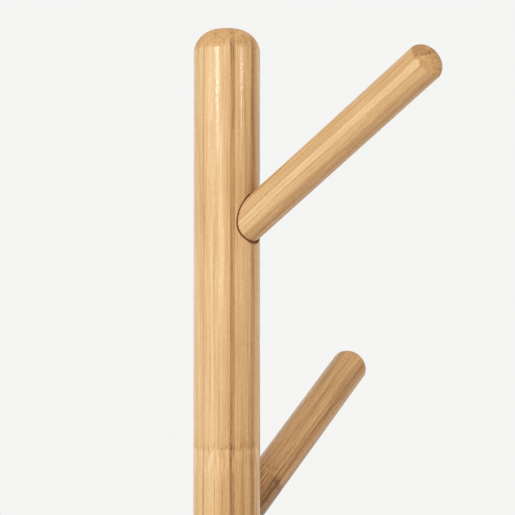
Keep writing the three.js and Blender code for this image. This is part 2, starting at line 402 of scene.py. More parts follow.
def make_fibre_group():
    """Bamboo's fibres along Z: bundles that are streaks on a side and dots on an end, and finer hairs."""
    tree, given, out = new_group(
        "fibre_bundles",
        [("Vector", VECTOR, None), ("Spacing", FLOAT, 1.25), ("Seed", FLOAT, 0.0)],
        ["Bundle", "Hair", "Drift", "Dash", "Speck"])
    moved = moved_by(tree, given["Vector"], joined(tree, given["Seed"], given["Seed"]))
    warp = noise(tree, moved, (0.1, 0.1, 0.02), 2.0, output="Color")
    flow = moved_by(tree, moved, scaled(tree, warp, (0.9, 0.9, 0.0)))
    size = math_node(tree, "DIVIDE", 1.0, given["Spacing"])
    close = node(tree, "ShaderNodeVectorMath", {0: flow, "Scale": size}, operation="SCALE").outputs[0]
    values = {"Vector": scaled(tree, close, (1.0, 1.0, 0.02)), "Scale": 1.0, "Randomness": 0.9}
    cells = node(tree, "ShaderNodeTexVoronoi", values, feature="F1").outputs["Distance"]
    hair = noise(tree, flow, (2.6, 2.6, 0.055), 3.0, 0.6)
    drift = noise(tree, flow, (0.55, 0.55, 0.012), 2.0)
    dash = noise(tree, flow, (3.2, 3.2, 0.3), 1.0)
    speck = noise(tree, moved, (3.4, 3.4, 0.9), 2.0, 0.7)
    feed(tree, out, {"Bundle": ramp(tree, cells, 0.14, 0.42, 1.0, 0.0),
                     "Hair": ramp(tree, hair, 0.33, 0.67), "Drift": ramp(tree, drift, 0.32, 0.68),
                     "Dash": ramp(tree, dash, 0.66, 0.76), "Speck": ramp(tree, speck, 0.32, 0.68, -1.0, 1.0)})
    return tree


def make_node_mark_group():
    """The marks where the cane had its nodes: dark dashes in a row, streaks below, a darker zone above."""
    tree, given, out = new_group(
        "cane_nodes",
        [("Vector", VECTOR, None), ("Height", FLOAT, 0.0), ("Spacing", FLOAT, 230.0), ("Shift", FLOAT, 0.0),
         ("Seed", FLOAT, 0.0)],
        ["Line", "Fleck", "Zone"])
    moved = moved_by(tree, given["Vector"], joined(tree, given["Seed"], z=given["Seed"]))
    wave = noise(tree, moved, (0.30, 0.30, 0.02), 3.0, 0.6)
    waved = math_node(tree, "MULTIPLY_ADD", wave, 2 * NODE_WAVE, split(tree, given["Vector"])["Z"])
    line_height = math_node(tree, "ADD", given["Height"], given["Shift"])
    centred = math_node(tree, "SUBTRACT", waved, line_height)
    half = math_node(tree, "MULTIPLY", given["Spacing"], 0.5)
    wrapped = math_node(tree, "WRAP", centred, half, math_node(tree, "MULTIPLY", half, -1.0))
    away = math_node(tree, "SUBTRACT", wrapped, NODE_WAVE)
    line = ramp(tree, math_node(tree, "ABSOLUTE", away), 0.2, 1.5, 1.0, 0.0)
    below = band(tree, away, (-12.5, -5.0), (-1.6, -0.4))
    above = band(tree, away, (-1.0, 0.6), (1.5, 7.5))
    broken = ramp(tree, noise(tree, moved, (1.7, 1.7, 0.8), 2.0, 0.7), 0.46, 0.62, 0.12, 1.0)
    streaks = ramp(tree, noise(tree, moved, (2.4, 2.4, 0.13), 2.0, 0.6), 0.36, 0.64, -0.5, 1.0)
    feed(tree, out, {"Line": math_node(tree, "MULTIPLY", line, broken),
                     "Fleck": math_node(tree, "MULTIPLY", below, streaks),
                     "Zone": math_node(tree, "MULTIPLY", above, broken)})
    return tree


def make_end_grain_group():
    """How far a surface faces along the grain: 0 on a side, 1 on an end, which starts at Full."""
    tree, given, out = new_group("end_grain", [("Grain", VECTOR, (0.0, 0.0, 1.0)), ("Full", FLOAT, 0.42)],
                                 ["End"])
    normal = node(tree, "ShaderNodeNewGeometry").outputs["Normal"]
    along = math_node(tree, "ABSOLUTE", dot(tree, normal, given["Grain"]))
    feed(tree, out, {"End": ramp(tree, along, 0.03, given["Full"])})
    return tree


def make_drilled_group():
    """Scorch and painted shade on the wall and rim of a hole drilled along +Z, open upwards, with a painted
    shadow below the peg towards +X.
    """
    tree, given, out = new_group("drilled_hole", [("Vector", VECTOR, None), ("Radius", FLOAT, 6.75),
                                                  ("Lip Shadow", FLOAT, 0.3)], ["Scorch And Shade"])
    parts = split(tree, given["Vector"])
    reach = length(tree, joined(tree, parts["X"], parts["Y"]))
    lowness = math_node(tree, "DIVIDE", parts["X"], reach)
    # A painted shadow: the dark rim reaches further below the peg
    lip_shadow = math_node(tree, "MULTIPLY", ramp(tree, lowness, 0.86, 0.97), given["Lip Shadow"])
    beyond = math_node(tree, "SUBTRACT", reach, math_node(tree, "ADD", given["Radius"], lip_shadow))
    inside = ramp(tree, beyond, 0.08, 0.30, 1.0, 0.0)
    open_side = ramp(tree, parts["Z"], 0.0, 1.0)
    feed(tree, out, {"Scorch And Shade": math_node(tree, "MULTIPLY", inside, open_side)})
    return tree


def make_turned_group():
    """Fine rings that a lathe leaves around Z, and slow patches of a duller finish."""
    tree, given, out = new_group("turned_marks", [("Vector", VECTOR, None), ("Seed", FLOAT, 0.0)],
                                 ["Ring", "Patch"])
    parts = split(tree, given["Vector"])
    reach = length(tree, joined(tree, parts["X"], parts["Y"]))
    rings = noise(tree, joined(tree, reach, parts["Z"], given["Seed"]), 9.0, 2.0)
    patches = noise(tree, given["Vector"], 0.7, 4.0)
    feed(tree, out, {"Ring": ramp(tree, rings, 0.35, 0.65), "Patch": ramp(tree, patches, 0.35, 0.65)})
    return tree


STRIPS = make_strip_group()
FIBRES = make_fibre_group()
CANE_NODES = make_node_mark_group()
END_GRAIN = make_end_grain_group()
DRILLED = make_drilled_group()
TURNED = make_turned_group()


def new_material(name):
    material = bpy.data.materials.new(name)
    material.use_nodes = True
    tree = material.node_tree
    return material, tree, tree.nodes["Principled BSDF"]


def stock_place(tree, place):
    """Object coordinates in millimetres, in the frame of a place."""
    where = node(tree, "ShaderNodeTexCoord")
    turn = place.to_euler()
    values = {"Vector": where.outputs["Object"], "Location": place.translation,
              "Rotation": (turn.x, turn.y, turn.z), "Scale": (MM, MM, MM)}
    return node(tree, "ShaderNodeMapping", values, vector_type="TEXTURE").outputs[0]


# ---------------------------------------------------------------- lacquered bamboo
# Bamboo's own colours from its darkest fibre to its palest, as (tone, linear colour) stops
BAMBOO_COLOURS = [(0.0, (0.200, 0.088, 0.028, 1)), (0.22, (0.400, 0.200, 0.076, 1)),
                  (0.45, (0.560, 0.312, 0.128, 1)), (0.68, (0.700, 0.430, 0.195, 1)),
                  (0.86, (0.790, 0.530, 0.275, 1)), (1.0, (0.850, 0.620, 0.370, 1))]
# Dark brown at the sockets: partly scorch, partly painted shade of the gap around each peg
SCORCH_AND_SHADE = (0.270, 0.104, 0.028, 1)
BUNDLE_SPACING = 1.25
DARKEST_STRIP = 0.26
END_TONE = 0.62
END_EVENNESS = 0.7
END_DULLNESS = 0.85
TONE_OFFSET = 0.14
SHADE_LEFT_OVER = 0.25
SHADE_EVENNESS = 0.35
# How far the painted shadow below each peg reaches past its socket's rim, in millimetres
LIP_SHADOW_REACH = 0.3
# How softly the painted shade on a peg fades at the post's face, in millimetres
SOCKET_SHADE_SOFTNESS = 0.1
LACQUER_ROUGHNESS = 0.13
LACQUER_IOR = 1.5
UNDERCOAT_SPECULAR = 0.25
FIBRE_RELIEF = 0.03 * MM


def strip_tone(tree, strips, darkest, palest, tones_and_light):
    """How pale each strip is. A chart of the strips' tones and painted light sets the front layer across a
    width that is the post's.
    """
    tone = math_node(tree, "MULTIPLY_ADD", strips["Tone"], palest - darkest, darkest)
    if not tones_and_light:
        return tone
    width = POST_RADIUS / MM
    chart = grey_chart(tree, strips["Across"], -width, width, tones_and_light)
    return blend(tree, strips["Back"], chart, tone)


def shaded(tree, tone, hair, height, across, shade):
    """Darkens the middle strips down the stock, partly their own tone and partly painted shade, and evens out
    their hairs.
    """
    below = ramp(tree, height, *shade["down"], 1.0, 0.0)
    aside = math_node(tree, "MULTIPLY", ramp(tree, across, *shade["comes_in"]),
                      ramp(tree, across, *shade["fades_out"], 1.0, SHADE_LEFT_OVER))
    tone = add_up(tree, tone, [(math_node(tree, "MULTIPLY", below, aside), -shade["amount"])])
    evened = math_node(tree, "MULTIPLY", below, SHADE_EVENNESS)
    return math_node(tree, "MAXIMUM", tone, DARKEST_STRIP), blend(tree, evened, hair, grey(0.5))


def stretched(tree, tone, height, stretches):
    """Adds the paler and darker stretches along the stock."""
    bottom, top = stretches[0][0], stretches[-1][0]
    stops = [((place - bottom) / (top - bottom), 0.5 + added) for place, added in stretches]
    chart = grey_chart(tree, height, bottom, top, stops, "EASE")
    return math_node(tree, "SUBTRACT", math_node(tree, "ADD", tone, chart), 0.5)


def marked(tree, tone, hair, strips, fibres, marks, end):
    """Adds the fibres, seams, node marks and the darker cut ends."""
    tone = blend(tree, math_node(tree, "MULTIPLY", end, END_EVENNESS), tone, grey(END_TONE))
    dots = math_node(tree, "MULTIPLY", fibres["Bundle"], end)
    back_end = math_node(tree, "MULTIPLY", end, strips["Back"])
    tone = add_up(tree, tone, [
        (fibres["Drift"], 0.16), (hair, 0.22), (fibres["Bundle"], -0.11), (fibres["Dash"], -0.16),
        (fibres["Speck"], 0.05), (strips["Seam"], -0.14), (marks["Zone"], -0.06), (marks["Line"], -0.21),
        (marks["Fleck"], 0.19), (end, -0.16), (dots, -0.08), (back_end, -0.16)])
    return math_node(tree, "SUBTRACT", tone, TONE_OFFSET)


def scorch_and_shade_at_holes(tree, holes):
    """Where the walls and rims of the sockets are dark: partly scorch from the bit, partly painted shade of
    the gap, with a painted shadow below each peg.
    """
    scorch_and_shade = 0.0
    for hole in holes:
        values = {"Vector": stock_place(tree, hole), "Radius": SOCKET_RADIUS / MM, "Lip Shadow": LIP_SHADOW_REACH}
        scorch_and_shade = math_node(tree, "MAXIMUM", scorch_and_shade, group(tree, DRILLED, values)["Scorch And Shade"])
    return scorch_and_shade


def painted_shade_in_socket(tree):
    """Painted shade where a peg lies inside the post, which darkens the gap around it."""
    where = node(tree, "ShaderNodeTexCoord").outputs["Object"]
    reach = length(tree, scaled(tree, where, (1 / MM, 1 / MM, 0.0)))
    face = POST_RADIUS / MM
    return ramp(tree, reach, face - SOCKET_SHADE_SOFTNESS, face + SOCKET_SHADE_SOFTNESS, 1.0, 0.0)


def lacquer(tree, shader, stock, fibres, marks, end, scorch_and_shade):
    """Clear lacquer with fine pores, thin on the cut ends and missing where the sockets' scorch and painted
    shade lie.
    """
    relief = add_up(tree, fibres["Hair"], [(fibres["Bundle"], -0.5), (marks["Line"], -1.0),
                                           (fibres["Speck"], 0.3)])
    bump = node(tree, "ShaderNodeBump", {"Height": relief, "Strength": 0.3, "Distance": FIBRE_RELIEF})
    pores = ramp(tree, noise(tree, stock, (1.9, 1.9, 1.1), 2.0), 0.42, 0.58, 0.2, 1.0)
    streaks = math_node(tree, "MULTIPLY_ADD", fibres["Hair"], 0.4, 0.6)
    bare = math_node(tree, "MAXIMUM", math_node(tree, "MULTIPLY", end, END_DULLNESS), scorch_and_shade)
    coat = math_node(tree, "MULTIPLY", math_node(tree, "MULTIPLY", pores, streaks),
                     math_node(tree, "SUBTRACT", 1.0, bare))
    rough = add_up(tree, math_node(tree, "MAXIMUM", end, scorch_and_shade), [(fibres["Hair"], -0.1)])
    feed(tree, shader, {
        "Roughness": math_node(tree, "MULTIPLY_ADD", rough, 0.25, 0.42), "Coat Weight": coat,
        "Coat Roughness": LACQUER_ROUGHNESS, "Coat IOR": LACQUER_IOR,
        "Specular IOR Level": UNDERCOAT_SPECULAR, "Normal": bump.outputs[0]})


def bamboo(name, place, *, seed, strip_width, strip_offset, layer, node_height, node_spacing, scatter=3.0,
           darkest=0.5, palest=0.8, tones_and_light=None, shade=None, stretches=None, end_full=0.42, holes=(),
           sunk=False):
    """Lacquered bamboo. Place is the matrix of the stock it was cut from, whose +Z is the grain.

    The second layer of strips starts at layer, along the stock's Y. Scatter is how far the node marks of
    neighbouring strips lie apart. A piece can have holes with dark rims, partly scorch and partly painted
    shade of the gap, or painted shade where it is sunk in the post.
    """
    material, tree, shader = new_material(name)
    stock = stock_place(tree, place)
    strips = group(tree, STRIPS, {"Vector": stock, "Width": strip_width, "Offset": strip_offset,
                                  "Layer": layer, "Seed": seed})
    fibres = group(tree, FIBRES, {"Vector": stock, "Spacing": BUNDLE_SPACING, "Seed": seed})
    shift = math_node(tree, "MULTIPLY_ADD", strips["Tone"], scatter, -scatter / 2)
    marks = group(tree, CANE_NODES, {"Vector": stock, "Height": node_height, "Spacing": node_spacing,
                                     "Shift": shift, "Seed": seed})
    grain = place.to_3x3() @ Vector((0, 0, 1))
    end = group(tree, END_GRAIN, {"Grain": grain, "Full": end_full})["End"]
    height = split(tree, stock)["Z"]

    tone, hair = strip_tone(tree, strips, darkest, palest, tones_and_light), fibres["Hair"]
    # Painted shade, partly the strips' own tone, darkens the lower middle of the post's front
    if shade:
        tone, hair = shaded(tree, tone, hair, height, strips["Across"], shade)
    if stretches:
        tone = stretched(tree, tone, height, stretches)
    tone = marked(tree, tone, hair, strips, fibres, marks, end)
    body = colour_ramp(tree, tone, BAMBOO_COLOURS)
    # Dark brown at the sockets: partly scorch, partly painted shade of the gap, and on a peg painted shade
    # inside the post
    scorch_and_shade = painted_shade_in_socket(tree) if sunk else scorch_and_shade_at_holes(tree, holes)
    if holes or sunk:
        body = blend(tree, scorch_and_shade, body, SCORCH_AND_SHADE)
    feed(tree, shader, {"Base Color": body})
    lacquer(tree, shader, stock, fibres, marks, end, scorch_and_shade)
    return material


# ---------------------------------------------------------------- metal and rubber
ZINC = {"bright": (0.66, 0.68, 0.71, 1), "dull": (0.42, 0.43, 0.45, 1), "shiny": 0.24}
BRASS = {"bright": (0.74, 0.54, 0.24, 1), "dull": (0.42, 0.27, 0.10, 1), "shiny": 0.26}
LATHE_RELIEF = 0.01 * MM
RUBBER_RELIEF = 0.05 * MM
RUBBER = (0.022, 0.021, 0.020, 1)
RUBBER_DUST = (0.070, 0.066, 0.060, 1)


def turned_metal(name, place, seed, bright, dull, shiny):
    """Turned metal: rings around the place's +Z, and patches where the bright finish has gone dull.

    Shiny is the roughness of the bright finish.
    """
    material, tree, shader = new_material(name)
    marks = group(tree, TURNED, {"Vector": stock_place(tree, place), "Seed": seed})
    patch = math_node(tree, "MULTIPLY", marks["Patch"], 0.6)
    shade = add_up(tree, patch, [(marks["Ring"], 0.25)])
    rough = add_up(tree, marks["Patch"], [(marks["Ring"], 0.5)])
    values = {"Height": marks["Ring"], "Strength": 0.3, "Distance": LATHE_RELIEF}
    bump = node(tree, "ShaderNodeBump", values)
    feed(tree, shader, {
        "Base Color": blend(tree, shade, bright, dull), "Metallic": 1.0,
        "Roughness": math_node(tree, "MULTIPLY_ADD", rough, 0.14, shiny), "Normal": bump.outputs[0]})
    return material


def moulded_rubber():
    """Black rubber with a fine moulded texture and patches of dust."""
    material, tree, shader = new_material("moulded_rubber")
    where = stock_place(tree, Matrix.Identity(4))
    grain = noise(tree, where, 2.6, 4.0)
    dusty = ramp(tree, noise(tree, where, 0.35, 5.0, 0.7), 0.46, 0.72, 0.0, 0.6)
    bump = node(tree, "ShaderNodeBump", {"Height": grain, "Strength": 0.5, "Distance": RUBBER_RELIEF})
    feed(tree, shader, {
        "Base Color": blend(tree, dusty, RUBBER, RUBBER_DUST),
        "Roughness": ramp(tree, grain, 0.3, 0.7, 0.62, 0.86), "Normal": bump.outputs[0]})
    return material


# ---------------------------------------------------------------- where the pegs lie
def peg_place(level):
    """Where a peg's own frame lies: its +Z runs out along the peg from the post's axis."""
    height = TOP_PEG_HEIGHT - PEG_PITCH * level
    lean = math.pi / 2 - PEG_SLOPE
    return (Matrix.Translation((0, 0, height)) @ Matrix.Rotation(PEG_TURN * level, 4, "Z")
            @ Matrix.Rotation(lean, 4, "Y"))


def socket_place(level):
    """A socket's own frame. It sits a little low, so the gap shows most below the peg."""
    return peg_place(level) @ Matrix.Translation((SOCKET_DROP, 0, 0))


# ---------------------------------------------------------------- the post
POST_SIDES = 160
SOCKET_SIDES = 120
INSERT_BORE_SIDES = 48
EDGE_SLACK = 0.06 * MM
EDGE_SPACING = 0.12 * MM
EDGE_ROUND = 0.1 * MM

# Across the post's front from one side to the other: how pale each strip is. Partly the strips' own tones,
# partly painted shade: the right of the front and a band just inside its right edge are darker where less
# light falls.
POST_TONES_AND_SHADE = [(0.0, 0.80), (0.165, 0.76), (0.172, 0.62), (0.187, 0.62), (0.195, 0.79), (0.44, 0.82),
              (0.49, 0.74), (0.567, 0.68), (0.574, 0.28), (0.64, 0.36), (0.65, 0.68), (0.73, 0.68),
              (0.785, 0.63), (0.873, 0.58), (0.888, 0.35), (0.93, 0.42), (0.95, 0.64), (1.0, 0.64)]

# Paler and darker stretches along the post, as (height, what is added to the tone)
POST_STRETCHES = [(200.0, 0.0), (285.0, -0.12), (318.0, -0.02), (365.0, -0.01), (390.0, -0.07),
                  (415.0, -0.06), (428.0, -0.03), (450.0, -0.03)]

# The middle strips darken down the post, between these heights and these places across: partly their own
# tone, partly painted shade where less light falls.
POST_SHADE = {"down": (300.0, 400.0), "comes_in": (-5.6, -0.2), "fades_out": (6.0, 7.4), "amount": 0.18}


def socket_tool(level):
    """What is cut out of the post for one peg: the socket, and the insert's bore below its floor."""
    tool = cylinder("socket_tool", SOCKET_RADIUS, SOCKET_FLOOR, SOCKET_TOOL_END, SOCKET_SIDES)
    put(tool, Matrix.Translation((SOCKET_DROP, 0, 0)))
    bore = cylinder("bore_tool", INSERT_BORE_RADIUS, INSERT_BORE_END, SOCKET_FLOOR + MM, INSERT_BORE_SIDES)
    cut_away(tool, bore, "UNION")
    return put(tool, peg_place(level))


def near_socket_edge(level):
    """A test for the verts or edges where one socket meets the post's face."""
    inverse = socket_place(level).inverted()

    def test(item):
        for vert in getattr(item, "verts", [item]):
            local = inverse @ vert.co
            if abs(local.xy.length - SOCKET_RADIUS) > EDGE_SLACK or local.z < SOCKET_FLOOR + MM:
                return False
            if abs(vert.co.xy.length - POST_RADIUS) > EDGE_SLACK:
                return False
        return True
    return test


def soften_socket_edge(piece, level):
    """Evens out the points along a socket's edge, and takes the sharpness off it."""
    pick(piece, "verts", near_socket_edge(level))
    bpy.ops.mesh.remove_doubles(threshold=EDGE_SPACING)
    done()
    pick(piece, "edges", near_socket_edge(level))
    bpy.ops.mesh.bevel(offset=SOCKET_EDGE, segments=2, profile=0.5, affect="EDGES", clamp_overlap=True)
    done()


def make_post():
    """A turned rod with a rounded top, a bore up its foot and the pegs' sockets."""
    points = [(0, POST_BORE_TOP), (POST_BORE_RADIUS, POST_BORE_TOP), (POST_BORE_RADIUS, POST_LOW.z),
              (POST_RADIUS - POST_FOOT_CHAMFER, POST_LOW.z), (POST_RADIUS, POST_LOW.z + POST_FOOT_CHAMFER)]
    corner = len(points)
    points += rounded_end(POST_RADIUS, POST_HIGH.z, POST_TOP_ROUND, POST_TOP_ROUND, POST_TOP_LEDGE)
    points.append((0, POST_HIGH.z))
    piece = turned("bamboo_post", points, POST_SIDES, [(corner, EDGE_ROUND)])
    for level in range(len(PEG_LEVELS)):
        cut_away(piece, socket_tool(level))
    clean(piece)
    for level in range(len(PEG_LEVELS)):
        soften_socket_edge(piece, level)
    clean(piece)
    smooth(piece)
    modify(piece, "WEIGHTED_NORMAL", keep_sharp=True)
    stock = Matrix.Rotation(VIEW_TURN, 4, "Z")
    holes = [socket_place(level) for level in range(len(PEG_LEVELS))]
    wood = bamboo("lacquered_bamboo_post", stock, seed=3.0, strip_width=7.3, strip_offset=3.4, layer=0.0,
                  node_height=313.0, node_spacing=232.0, tones_and_light=POST_TONES_AND_SHADE, shade=POST_SHADE,
                  stretches=POST_STRETCHES, holes=holes)
    finished(piece, "root", ["post"], wood)


# ---------------------------------------------------------------- the pegs
PEG_SIDES = 112

# Across the top peg's first layer, over the same width as the post: how pale it is. Partly the strips' tones,
# partly painted light: a pale band where the broad highlight runs along the peg, and painted shade towards
# its lower side.
TOP_PEG_TONES_AND_LIGHT = [(0.0, 0.52), (0.2135, 0.52), (0.219, 0.80), (0.245, 0.80), (0.27, 0.64), (0.31, 0.60),
                 (0.36, 0.50), (0.45, 0.44), (1.0, 0.44)]

# A dark stretch of the upper peg, as (distance from the post's axis, what is added to the tone)
UPPER_PEG_STRETCHES = [(8.0, -0.28), (25.0, -0.26), (29.0, -0.05), (60.0, 0.0), (100.0, 0.02)]

# How each peg was cut from its stock: turned about its own length, and what strips it got. The top peg's
# chart also holds painted light.
PEG_STOCK_TURNS = {"top": 1.51, "upper": 2.1, "lower": 1.2, "bottom": 2.9}
PEG_STOCK = {
    "top": {"seed": 11.0, "strip_offset": 5.3, "layer": 0.0, "node_height": 150.0,
            "darkest": 0.58, "palest": 0.58, "tones_and_light": TOP_PEG_TONES_AND_LIGHT},
    "upper": {"seed": 27.0, "strip_offset": 3.1, "layer": 20.0, "node_height": 27.0,
              "darkest": 0.30, "palest": 0.44, "stretches": UPPER_PEG_STRETCHES},
    "lower": {"seed": 41.0, "strip_offset": 0.7, "layer": 20.0, "node_height": 61.0,
              "darkest": 0.50, "palest": 0.74},
    "bottom": {"seed": 58.0, "strip_offset": 4.2, "layer": 20.0, "node_height": 44.0,
               "darkest": 0.42, "palest": 0.66},
}


def make_peg_blank():
    """A peg along Z: straight sides, an oval rounded tip and a bored, chamfered blunt end."""
    points = [(0, HANGER_BORE_END), (HANGER_BORE_RADIUS, HANGER_BORE_END), (HANGER_BORE_RADIUS, PEG_START),
              (PEG_RADIUS - PEG_END_CHAMFER, PEG_START), (PEG_RADIUS, PEG_START + PEG_END_CHAMFER)]
    corner = len(points)
    points += rounded_end(PEG_RADIUS, PEG_REACH, PEG_TIP_WIDTH, PEG_TIP_LENGTH, PEG_TIP_LEDGE)
    points.append((0, PEG_REACH))
    return turned("peg_blank", points, PEG_SIDES, [(corner, EDGE_ROUND)])


def make_pegs():
    """Four copies of one peg, each with strips of its own."""
    blank = make_peg_blank()
    for level, name in enumerate(PEG_LEVELS):
        piece = put(copy_of(blank, f"bamboo_peg_{name}"), peg_place(level))
        smooth(piece)
        stock = peg_place(level) @ Matrix.Rotation(PEG_STOCK_TURNS[name], 4, "Z")
        # Each peg gets painted shade where it lies inside the post
        wood = bamboo(f"lacquered_bamboo_peg_{name}", stock, strip_width=7.0, node_spacing=260.0, sunk=True,
                      **PEG_STOCK[name])
        finished(piece, "root", [f"peg_{name}"], wood)
    bpy.data.objects.remove(blank)


# ---------------------------------------------------------------- the base
BASE_SIDES = 192


def foot_middle(name):
    """The point on the ground in the middle of a foot."""
    low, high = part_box(name)
    return Vector(((low.x + high.x) / 2, (low.y + high.y) / 2, 0))


def make_base():
    """A turned disc with a seat for the post, a bolt hole, a counterbore and recesses for the feet."""
    low, high = BASE_LOW.z, BASE_HIGH.z
    seat = POST_RADIUS + FIT_GAP
    seat_floor = high - SEAT_DEPTH
    counterbore_top = low + COUNTERBORE_DEPTH
    points = [(BOLT_HOLE_RADIUS, counterbore_top), (COUNTERBORE_RADIUS, counterbore_top),
              (COUNTERBORE_RADIUS, low), (BASE_RADIUS, low), (BASE_RADIUS, high), (seat, high),
              (seat, seat_floor), (BOLT_HOLE_RADIUS, seat_floor), (BOLT_HOLE_RADIUS, counterbore_top)]
    rounds = [(2, COUNTERBORE_ROUND), (3, BASE_BOTTOM_ROUND), (4, BASE_TOP_ROUND), (5, SEAT_ROUND)]
    piece = turned("turned_base", points, BASE_SIDES, rounds)
    for foot in FOOT_NODES:
        foot_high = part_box(foot)[1].z
        recess = cylinder("recess_tool", FOOT_RADIUS + FIT_GAP, -MM, foot_high + FIT_GAP, FOOT_SIDES)
        cut_away(piece, put(recess, Matrix.Translation(foot_middle(foot))))
    clean(piece)
    smooth(piece)
    stock = Matrix.Rotation(math.radians(90), 4, "Y") @ Matrix.Rotation(math.radians(90), 4, "Z")
    wood = bamboo("lacquered_bamboo_base", stock, seed=5.0, strip_width=6.0, strip_offset=2.0, layer=40.0,
                  node_height=20.0, node_spacing=240.0, scatter=240.0, end_full=1.1)
    finished(piece, "root", ["base"], wood)


# ---------------------------------------------------------------- the rubber feet
FOOT_RADIUS = 7 * MM
FOOT_SIDES = 72
FOOT_EDGE_ROUND = 0.6 * MM
FOOT_TOP_ROUND = 0.25 * MM
GROOVE_INNER = 3.6 * MM
GROOVE_OUTER = 4.4 * MM
GROOVE_DEPTH = 0.35 * MM
GROOVE_LIP_ROUND = 0.12 * MM
GROOVE_FLOOR_ROUND = 0.15 * MM


def make_feet():
    """Pads with rounded edges and a moulded ring groove underneath."""
    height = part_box(FOOT_NODES[0])[1].z
    points = [(0, 0), (GROOVE_INNER, 0), (GROOVE_INNER, GROOVE_DEPTH), (GROOVE_OUTER, GROOVE_DEPTH),
              (GROOVE_OUTER, 0), (FOOT_RADIUS, 0), (FOOT_RADIUS, height), (0, height)]
    rounds = [(1, GROOVE_LIP_ROUND), (2, GROOVE_FLOOR_ROUND), (3, GROOVE_FLOOR_ROUND),
              (4, GROOVE_LIP_ROUND), (5, FOOT_EDGE_ROUND), (6, FOOT_TOP_ROUND)]
    pad = turned("pad", points, FOOT_SIDES, rounds)
    rubber = moulded_rubber()
    for number, name in enumerate(FOOT_NODES):
        piece = put(copy_of(pad, f"moulded_foot_{number + 1}"), Matrix.Translation(foot_middle(name)))
        smooth(piece)
        finished(piece, "root", [name], rubber)
    bpy.data.objects.remove(pad)


# ---------------------------------------------------------------- threads
RINGS_PER_PITCH = 8
FLAT_SHARE = 0.12

# A thread gets shallower where its wall's radius is less than this many thread depths
THIN_BELOW = 3


def thread_rings(low, high, pitch):
    """How many steps a threaded stretch needs."""
    return round((high - low) / pitch * RINGS_PER_PITCH)


def wind_thread(piece, low, high, pitch, depth, inner, outer, crest=FLAT_SHARE, root=FLAT_SHARE):
    """Winds a groove round a turned wall: the verts between two heights and two radii move along a helix.

    A positive depth cuts inwards, as on a bolt, and a negative one outwards, as in a nut. Crest and root
    are the flat shares of each turn. The groove fades out over the last half of a turn at both ends.
    """
    for vert in piece.data.vertices:
        radius = vert.co.xy.length
        if not (low < vert.co.z < high and inner < radius < outer):
            continue
        turn = math.atan2(vert.co.y, vert.co.x) / (2 * math.pi)
        away = abs((vert.co.z / pitch - turn) % 1 - 0.5) * 2
        groove = min(1, max(0, (away - crest) / (1 - crest - root)))
        fade = min(1, (vert.co.z - low) / (pitch / 2), (high - vert.co.z) / (pitch / 2))
        moved = radius - depth * groove * fade * min(1, radius / abs(THIN_BELOW * depth))
        vert.co.x *= moved / radius
        vert.co.y *= moved / radius


# ---------------------------------------------------------------- the hanger bolts
HANGER_RADIUS = 2 * MM
HANGER_CORE = 1.6 * MM
HANGER_LOW = -5 * MM
HANGER_PLAIN_LOW = 3.5 * MM
HANGER_PLAIN_HIGH = 6.1 * MM
HANGER_SHOULDER = 16.5 * MM
HANGER_HIGH = 19 * MM
HANGER_POINT = 0.15 * MM
HANGER_PITCH = 0.7 * MM
HANGER_SCREW_PITCH = 1.8 * MM
HANGER_SCREW_CREST = 0.1
HANGER_SCREW_ROOT = 0.35
HANGER_SIDES = 32


def make_hanger_bolts():
    """Double-ended bolts: a machine thread, a plain shank, and a pointed wood thread."""
    radius, core = HANGER_RADIUS, HANGER_CORE
    points = [(0, HANGER_LOW), (core, HANGER_LOW), (radius, HANGER_LOW + radius - core),
              (radius, HANGER_PLAIN_LOW), (radius, HANGER_PLAIN_HIGH), (radius, HANGER_SHOULDER),
              (HANGER_POINT, HANGER_HIGH), (0, HANGER_HIGH)]
    rings = {2: thread_rings(HANGER_LOW, HANGER_PLAIN_LOW, HANGER_PITCH),
             4: thread_rings(HANGER_PLAIN_HIGH, HANGER_SHOULDER, HANGER_SCREW_PITCH),
             5: thread_rings(HANGER_SHOULDER, HANGER_HIGH, HANGER_SCREW_PITCH)}
    bolt = turned("bolt", points, HANGER_SIDES, divisions=rings)
    wind_thread(bolt, HANGER_LOW, HANGER_PLAIN_LOW, HANGER_PITCH, radius - core, 0, 2 * radius)
    wind_thread(bolt, HANGER_PLAIN_HIGH, HANGER_HIGH, HANGER_SCREW_PITCH, radius - core, 0, 2 * radius,
                HANGER_SCREW_CREST, HANGER_SCREW_ROOT)
    for level, name in enumerate(PEG_LEVELS):
        piece = put(copy_of(bolt, f"threaded_hanger_bolt_{name}"), peg_place(level))
        smooth(piece)
        finish = turned_metal(f"zinc_hanger_bolt_{name}", peg_place(level), 3.0 + level, **ZINC)
        finished(piece, "root", [f"hanger_bolt_{name}"], finish)
    bpy.data.objects.remove(bolt)


# ---------------------------------------------------------------- the threaded inserts
INSERT_SIDES = 36
TAP_DEPTH = 0.18 * MM
PEG_INSERT = {"outer": 3.2 * MM, "ridge": 0.45 * MM, "pitch": 1.9 * MM, "slot": 1.1 * MM}
PEG_INSERT_LOW = -6 * MM
PEG_INSERT_HIGH = 3.5 * MM
BASE_INSERT = {"outer": 4.8 * MM, "ridge": 0.6 * MM, "pitch": 14 * MM / 6, "slot": 1.6 * MM}


